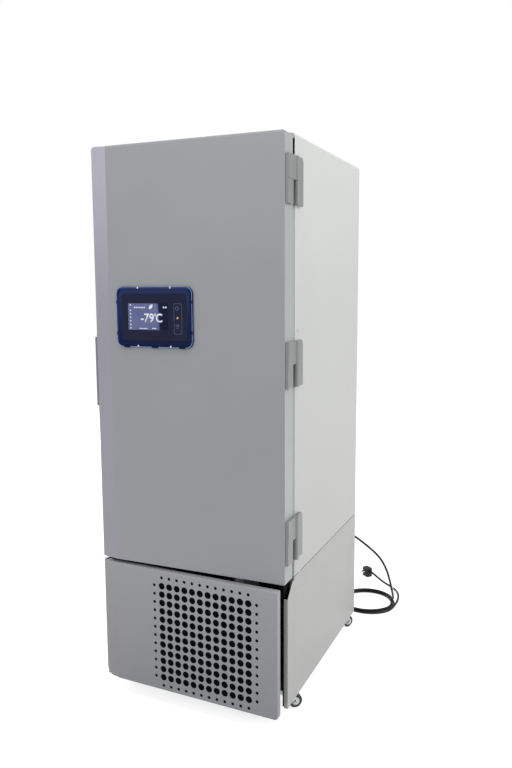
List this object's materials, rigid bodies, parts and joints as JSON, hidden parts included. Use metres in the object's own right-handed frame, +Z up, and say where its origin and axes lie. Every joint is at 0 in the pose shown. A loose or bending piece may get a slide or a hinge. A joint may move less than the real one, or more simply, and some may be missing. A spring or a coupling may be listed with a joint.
{
  "type": "ultra low temperature freezer",
  "caption": "Upright ultra low temperature freezer on swivel casters, with a hinged outer door, insulated inner doors, a touch display and a perforated grille panel left ajar.",
  "frame": {"origin": "on the floor under the middle of the freezer's box, taken without the mains cord", "axes": "+Z up, +X to the right as seen from the front, and the front at -Y"},
  "size_m": [0.8881, 1.5183, 1.989],
  "materials": {
    "door_enamel": "satin",
    "cabinet_enamel": "satin",
    "insulation_foam": "matte",
    "stainless_sheet": "satin",
    "white_moulding": "matte",
    "seal_rubber": "matte",
    "hinge_casting": "satin",
    "handle_moulding": "satin",
    "lock_metal": "polished",
    "display_rim": "gloss",
    "display_window": "gloss",
    "zinc_sheet": "satin",
    "black_enamel": "satin",
    "fin_aluminium": "satin",
    "copper_pipe": "satin",
    "fan_moulding": "matte",
    "filter_pad": "matte",
    "zinc_plate": "satin",
    "wheel_rubber": "matte",
    "cord_rubber": "satin",
    "switch_moulding": "gloss",
    "tie_moulding": "satin"
  },
  "bodies": {
    "cabinet": {"cabinet_shell": "cabinet_enamel", "back_panel": "cabinet_enamel", "cabinet_foam": "insulation_foam", "inner_liner": "stainless_sheet", "opening_collar": "white_moulding", "probe_port": "white_moulding", "shelf_pilasters": "stainless_sheet", "shelves": "stainless_sheet", "shelf_clips": "stainless_sheet", "inner_door_hinges": "stainless_sheet", "cabinet_hinge_leaves": "hinge_casting", "latch_strike": "hinge_casting", "base_frame": "zinc_sheet", "bay_frame": "zinc_sheet", "right_side_panel": "cabinet_enamel", "left_side_panel": "cabinet_enamel", "rear_service_panel": "cabinet_enamel", "grille_cheeks": "door_enamel", "grille_hinge_brackets": "hinge_casting", "condenser_coil": "fin_aluminium", "fan_shroud": "zinc_sheet", "fan_motor": "fan_moulding", "compressors": "black_enamel", "compressor_mounts": "seal_rubber", "heat_exchanger": "insulation_foam", "electrical_box": "white_moulding", "refrigerant_lines": "copper_pipe", "wall_bumpers": "seal_rubber", "caster_plates": "zinc_plate", "cord_gland": "cord_rubber", "mains_cord": "cord_rubber", "cord_coil": "cord_rubber", "mains_plug": "cord_rubber", "cord_tie": "tie_moulding"},
    "door": {"door_skin": "door_enamel", "door_core": "insulation_foam", "door_liner": "white_moulding", "door_gasket": "seal_rubber", "door_hinge_leaves": "hinge_casting", "display_bezel": "display_rim", "display_glass": "display_window", "handle_base": "handle_moulding"},
    "handle_lever": {"handle_lever": "handle_moulding"},
    "lock_cylinder": {"lock_cylinder": "lock_metal"},
    "grille": {"grille_panel": "door_enamel", "air_filter": "filter_pad"},
    "fan_rotor": {"fan_rotor": "fan_moulding"},
    "power_switch": {"power_switch": "switch_moulding"},
    "inner_door_1": {"inner_door_1": "white_moulding"},
    "inner_door_2": {"inner_door_2": "white_moulding"},
    "inner_door_3": {"inner_door_3": "white_moulding"},
    "inner_door_4": {"inner_door_4": "white_moulding"},
    "front_right_fork": {"front_right_fork": "zinc_plate"},
    "front_right_wheel": {"front_right_wheel": "wheel_rubber"},
    "front_left_fork": {"front_left_fork": "zinc_plate"},
    "front_left_wheel": {"front_left_wheel": "wheel_rubber"},
    "rear_right_fork": {"rear_right_fork": "zinc_plate"},
    "rear_right_wheel": {"rear_right_wheel": "wheel_rubber"},
    "rear_left_fork": {"rear_left_fork": "zinc_plate"},
    "rear_left_wheel": {"rear_left_wheel": "wheel_rubber"}
  },
  "joints": [
    {"name": "door_swing", "type": "hinge", "parent": "cabinet", "child": "door", "pos_m": [0.37882, -0.35288, 1.253], "axis": [0, 0, 1], "range_deg": [0, 105]},
    {"name": "inner_door_1_swing", "type": "hinge", "parent": "cabinet", "child": "inner_door_1", "pos_m": [0.30182, -0.30888, 0.76362], "axis": [0, 0, 1], "range_deg": [0, 90]},
    {"name": "inner_door_2_swing", "type": "hinge", "parent": "cabinet", "child": "inner_door_2", "pos_m": [0.30182, -0.30888, 1.09088], "axis": [0, 0, 1], "range_deg": [0, 90]},
    {"name": "inner_door_3_swing", "type": "hinge", "parent": "cabinet", "child": "inner_door_3", "pos_m": [0.30182, -0.30888, 1.41813], "axis": [0, 0, 1], "range_deg": [0, 90]},
    {"name": "inner_door_4_swing", "type": "hinge", "parent": "cabinet", "child": "inner_door_4", "pos_m": [0.30182, -0.30888, 1.74537], "axis": [0, 0, 1], "range_deg": [0, 90]},
    {"name": "handle_pull", "type": "hinge", "parent": "door", "child": "handle_lever", "pos_m": [-0.36118, -0.40288, 1.2054], "axis": [0, 0, 1], "range_deg": [-8, 17]},
    {"name": "lock_turn", "type": "hinge", "parent": "door", "child": "lock_cylinder", "pos_m": [-0.35618, -0.38688, 1.0484], "axis": [-1, 0, 0], "range_deg": [0, 90]},
    {"name": "grille_swing", "type": "hinge", "parent": "cabinet", "child": "grille", "pos_m": [-0.34318, -0.41488, 0.284], "axis": [0, 0, -1], "range_deg": [-2.8, 87]},
    {"name": "fan_spin", "type": "hinge", "parent": "cabinet", "child": "fan_rotor", "pos_m": [0.01032, -0.22988, 0.259], "axis": [0, 1, 0], "continuous": true},
    {"name": "switch_rock", "type": "hinge", "parent": "cabinet", "child": "power_switch", "pos_m": [0.20032, 0.44112, 0.405], "axis": [1, 0, 0], "range_deg": [-14, 0]},
    {"name": "front_right_swivel", "type": "hinge", "parent": "cabinet", "child": "front_right_fork", "pos_m": [0.32482, -0.28288, 0.058], "axis": [0, 0, 1], "continuous": true},
    {"name": "front_right_roll", "type": "hinge", "parent": "front_right_fork", "child": "front_right_wheel", "pos_m": [0.34559, -0.26723, 0.025], "axis": [-0.6018, 0.7986, 0], "continuous": true},
    {"name": "front_left_swivel", "type": "hinge", "parent": "cabinet", "child": "front_left_fork", "pos_m": [-0.30418, -0.28288, 0.058], "axis": [0, 0, 1], "continuous": true},
    {"name": "front_left_roll", "type": "hinge", "parent": "front_left_fork", "child": "front_left_wheel", "pos_m": [-0.31638, -0.25992, 0.025], "axis": [-0.8829, -0.4695, 0], "continuous": true},
    {"name": "rear_right_swivel", "type": "hinge", "parent": "cabinet", "child": "rear_right_fork", "pos_m": [0.32482, 0.40212, 0.058], "axis": [0, 0, 1], "continuous": true},
    {"name": "rear_right_roll", "type": "hinge", "parent": "rear_right_fork", "child": "rear_right_wheel", "pos_m": [0.34047, 0.42289, 0.025], "axis": [-0.7986, 0.6018, 0], "continuous": true},
    {"name": "rear_left_swivel", "type": "hinge", "parent": "cabinet", "child": "rear_left_fork", "pos_m": [-0.30418, 0.40212, 0.058], "axis": [0, 0, 1], "continuous": true},
    {"name": "rear_left_roll", "type": "hinge", "parent": "rear_left_fork", "child": "rear_left_wheel", "pos_m": [-0.29701, 0.42712, 0.025], "axis": [-0.9613, 0.2756, 0], "continuous": true}
  ],
  "couplings": [
    {"joint": "inner_door_1_swing", "follows": "door_swing", "ratio": 0.85},
    {"joint": "inner_door_2_swing", "follows": "door_swing", "ratio": 0.85},
    {"joint": "inner_door_3_swing", "follows": "door_swing", "ratio": 0.85},
    {"joint": "inner_door_4_swing", "follows": "door_swing", "ratio": 0.85}
  ]
}
